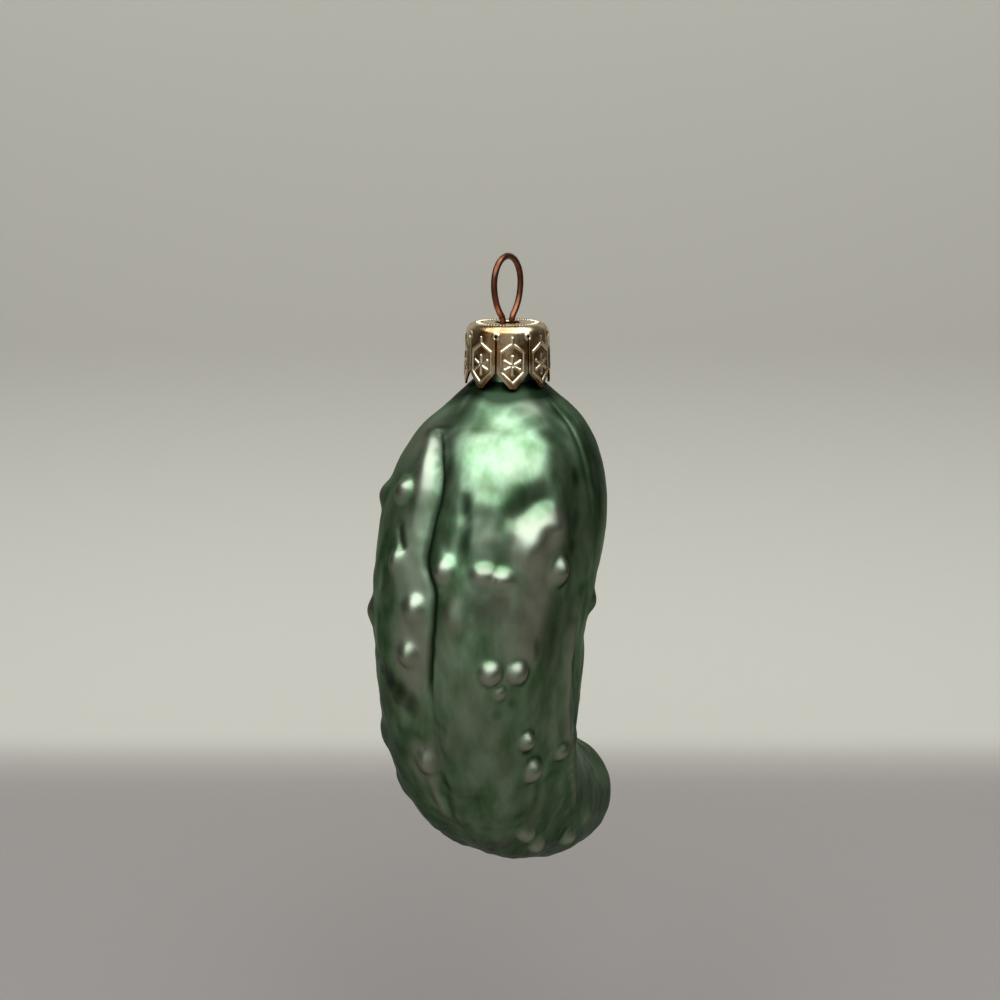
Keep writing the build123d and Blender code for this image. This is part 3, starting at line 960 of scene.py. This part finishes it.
def hollow_and_neck(body, settings):
    """Rings of the plain hollow inside, from the tail up, and of the neck, inside and outside."""
    wall = settings.glass_wall / MM
    inner_tail = settings.tail_length / MM - wall
    neck = settings.neck_radius / MM
    bore = settings.bore_radius / MM
    last = RINGS - 1
    ring_step = 8
    reach = body.girth[:RINGS, 0] * (1 - settings.rib_depth) - wall
    loops = []
    for angle in np.radians([80, 64, 48, 32, 16]):
        middle = body.spine[last] + body.heading[last] * inner_tail * math.sin(angle)
        loops.append(middle + body.ways[last] * reach[last] * math.cos(angle))
    for ring in range(last, ring_step, -ring_step):
        if reach[ring] > bore:
            loops.append(body.spine[ring] + body.ways[ring] * reach[ring])

    # The neck's rim is rounded, and its foot flares into the body. Drops are from the cap's top.
    tube = [(bore, drop) for drop in (8, 6.5, 5, 3, 1.5, 0.55)]
    tube += [(bore + 0.06, 0.38), (bore + 0.22, 0.3), (neck - 0.22, 0.3), (neck - 0.06, 0.38)]
    tube += [(neck, drop) for drop in (0.55, 1.5, 2.5, 3.5, 4.5, 5.5, 6.5, 7.3)]
    tube += [(neck + 0.04, 7.6), (neck + 0.12, 7.82)]
    turns = np.radians(body.turn[0])
    circle = np.stack([np.sin(turns), np.cos(turns), np.zeros(AROUND)], axis=-1)
    loops += [circle * radius + (0, 0, CAP_TOP - drop) for radius, drop in tube]
    return loops


def closed_shell(first_point, loops, last_point):
    """Vertices and faces of a skin through rings of points, closed by one point at each end."""
    vertices = np.concatenate([[first_point], np.concatenate(loops), [last_point]])
    last = len(vertices) - 1
    faces = []
    for i in range(AROUND):
        j = (i + 1) % AROUND
        faces.append((0, 1 + i, 1 + j))
        faces.append((last, last - AROUND + j, last - AROUND + i))
        for ring in range(len(loops) - 1):
            low = 1 + ring * AROUND
            faces.append((low + i, low + AROUND + i, low + AROUND + j, low + j))
    return vertices, faces


class ORNAMENT_OT_blow_glass_pickle(bpy.types.Operator):
    """Blow the glass pickle: neck, bent and furrowed body, warts and the hollow inside"""

    bl_idname = "ornament.blow_glass_pickle"
    bl_label = "Blow glass pickle"

    def execute(self, context):
        settings = context.scene.ornament_pickle
        body = bent_body(settings)
        skin = furrowed_skin(body, settings.rib_depth)
        rise, pressed, crests, lumps = skin_relief(body, skin)
        skin = skin + (rise * faded_ends(body))[..., None] * skin_facing(body, skin)
        thick, rubbed = lacquer_coat(body, skin, pressed, crests, lumps)

        loops = hollow_and_neck(body, settings)
        bare = 1 + len(loops) * AROUND
        last_ring = body.spine[RINGS - 1]
        tail = body.heading[RINGS - 1] * settings.tail_length / MM
        inner_tail = body.heading[RINGS - 1] * (settings.tail_length - settings.glass_wall) / MM
        vertices, faces = closed_shell(last_ring + inner_tail, loops + list(skin), last_ring + tail)
        pickle = new_object("glass_pickle_body", vertices, (), faces)
        mesh = pickle.data
        corners = vertices[[face[:3] for face in faces]]
        if np.einsum("ij,ij->i", corners[:, 0], np.cross(corners[:, 1], corners[:, 2])).sum() < 0:
            mesh.flip_normals()
        mesh.polygons.foreach_set("use_smooth", [True] * len(mesh.polygons))
        # "furrow" holds the painted shade; the other attribute holds wear and painted reflection
        for name, values in (("furrow", thick), ("rubbed", rubbed)):
            values = np.concatenate([np.zeros(bare), values.ravel(), [0]])
            mesh.attributes.new(name, "FLOAT", "POINT").data.foreach_set("value", values)
        mesh.materials.append(lacquered_glass_material(settings))
        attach(pickle, "pickle")
        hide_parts("glass_pickle")
        return {"FINISHED"}


def card_sweep(settings, right, away):
    """A pale card floor that sweeps up into a narrower wall behind the ornament."""
    floor = settings.floor_height / MM
    wall = settings.wall_reach / MM
    front, halfway, sweep = 900, 400, 110
    wall_middle, wall_rise = 200, 300
    floor_half, wall_half = 560, 240
    line = [(y, floor) for y in (-front, -halfway, 0, wall - sweep)]
    for angle in np.radians(np.linspace(6, 90, 15)):
        line.append((wall - sweep + sweep * math.sin(angle), floor + sweep - sweep * math.cos(angle)))
    line += [(wall, floor + wall_middle), (wall, floor + wall_rise)]
    vertices = []
    for y, z in line:
        half = floor_half if z == floor else wall_half
        vertices += [away * y + UP * z + right * x * half for x in (-1, 1)]
    faces = [(2 * i, 2 * i + 1, 2 * i + 3, 2 * i + 2) for i in range(len(line) - 1)]
    card = new_object("pale_card_sweep", vertices, (), faces)
    card.data.polygons.foreach_set("use_smooth", [True] * len(faces))
    card.data.materials.append(card_material(settings))
    return card


def aim(piece, direction):
    """Turns a light or the camera to look in a direction."""
    piece.rotation_euler = Vector(direction).to_track_quat("-Z", "Y").to_euler()


def hang_lamps(settings, right, away):
    """The soft light overhead and the fill light, both aimed at the ornament's middle."""
    middle = Vector([(low + high) / 2 for low, high in zip(*cad_box)])
    lamps = [
        ("soft_light", settings.light_width, settings.light_height, settings.light_reach,
         settings.light_lift, settings.light_side, settings.light_power),
        ("fill_light", settings.fill_width, settings.fill_height, settings.fill_reach,
         settings.fill_lift, settings.fill_side, settings.fill_power),
    ]
    for name, width, height, reach, lift, aside, power in lamps:
        lamp = bpy.data.lights.new(name, "AREA")
        lamp.shape = "ELLIPSE"
        lamp.size = width
        lamp.size_y = height
        lamp.energy = power
        lamp.color = settings.light_colour[:3]
        soft = linked(name, lamp)
        level = right * math.sin(aside) - away * math.cos(aside)
        toward = Vector(level * math.cos(lift) + UP * math.sin(lift))
        soft.location = middle + toward * reach
        aim(soft, -toward)
        soft.visible_camera = False


def plain_room(settings):
    """The room's even light."""
    world = bpy.data.worlds.new("plain_room")
    world.use_nodes = True
    world.node_tree.nodes.clear()
    light = {"Color": settings.room_colour, "Strength": 1}
    room = output_of(world.node_tree, "ShaderNodeBackground", light)
    add_node(world.node_tree, "ShaderNodeOutputWorld", {"Surface": room})
    return world


def front_camera(settings, away):
    """The camera, a little above the ornament and close to it."""
    lens = bpy.data.cameras.new("front_camera")
    lens.lens = settings.camera_lens
    lens.sensor_width = 36
    lens.clip_start = 0.01
    camera = linked("front_camera", lens)
    camera.location = settings.camera_place
    aim(camera, away * math.cos(settings.camera_pitch) - UP * math.sin(settings.camera_pitch))
    return camera


class ORNAMENT_OT_set_stage(bpy.types.Operator):
    """Set the pale floor and wall, the soft light and the camera"""

    bl_idname = "ornament.set_stage"
    bl_label = "Set stage"

    def execute(self, context):
        scene = context.scene
        settings = scene.ornament_stage
        azimuth = settings.camera_azimuth
        right = np.array([math.cos(azimuth), math.sin(azimuth), 0])
        away = np.array([-math.sin(azimuth), math.cos(azimuth), 0])
        card = card_sweep(settings, right, away)
        hang_lamps(settings, right, away)
        scene.world = plain_room(settings)
        scene.camera = front_camera(settings, away)
        scene.view_settings.view_transform = "Standard"
        return {"FINISHED"}


class ORNAMENT_PT_panel(bpy.types.Panel):
    """Lists the ornament's settings and the steps that make it"""

    bl_idname = "ORNAMENT_PT_panel"
    bl_label = "Pickle ornament"
    bl_space_type = "VIEW_3D"
    bl_region_type = "UI"
    bl_category = "Ornament"

    def draw(self, context):
        for group, step in GROUPS:
            box = self.layout.box()
            settings = getattr(context.scene, group)
            for name in settings.__annotations__:
                box.prop(settings, name)
            box.operator(step.bl_idname)


GROUPS = [
    ("ornament_hanger", ORNAMENT_OT_bend_hanger_wire),
    ("ornament_cap", ORNAMENT_OT_stamp_crown_cap),
    ("ornament_pickle", ORNAMENT_OT_blow_glass_pickle),
    ("ornament_stage", ORNAMENT_OT_set_stage),
]
SETTINGS = [HangerWireSettings, CrownCapSettings, GlassPickleSettings, StageSettings]


def register():
    for settings, (group, step) in zip(SETTINGS, GROUPS):
        bpy.utils.register_class(settings)
        bpy.utils.register_class(step)
        setattr(bpy.types.Scene, group, PointerProperty(type=settings))
    bpy.utils.register_class(ORNAMENT_PT_panel)


def unregister():
    bpy.utils.unregister_class(ORNAMENT_PT_panel)
    for settings, (group, step) in zip(SETTINGS, GROUPS):
        delattr(bpy.types.Scene, group)
        bpy.utils.unregister_class(step)
        bpy.utils.unregister_class(settings)


def main():
    register()
    bpy.ops.ornament.bend_hanger_wire()
    bpy.ops.ornament.stamp_crown_cap()
    bpy.ops.ornament.blow_glass_pickle()
    bpy.ops.ornament.set_stage()


if __name__ == "__main__":
    main()
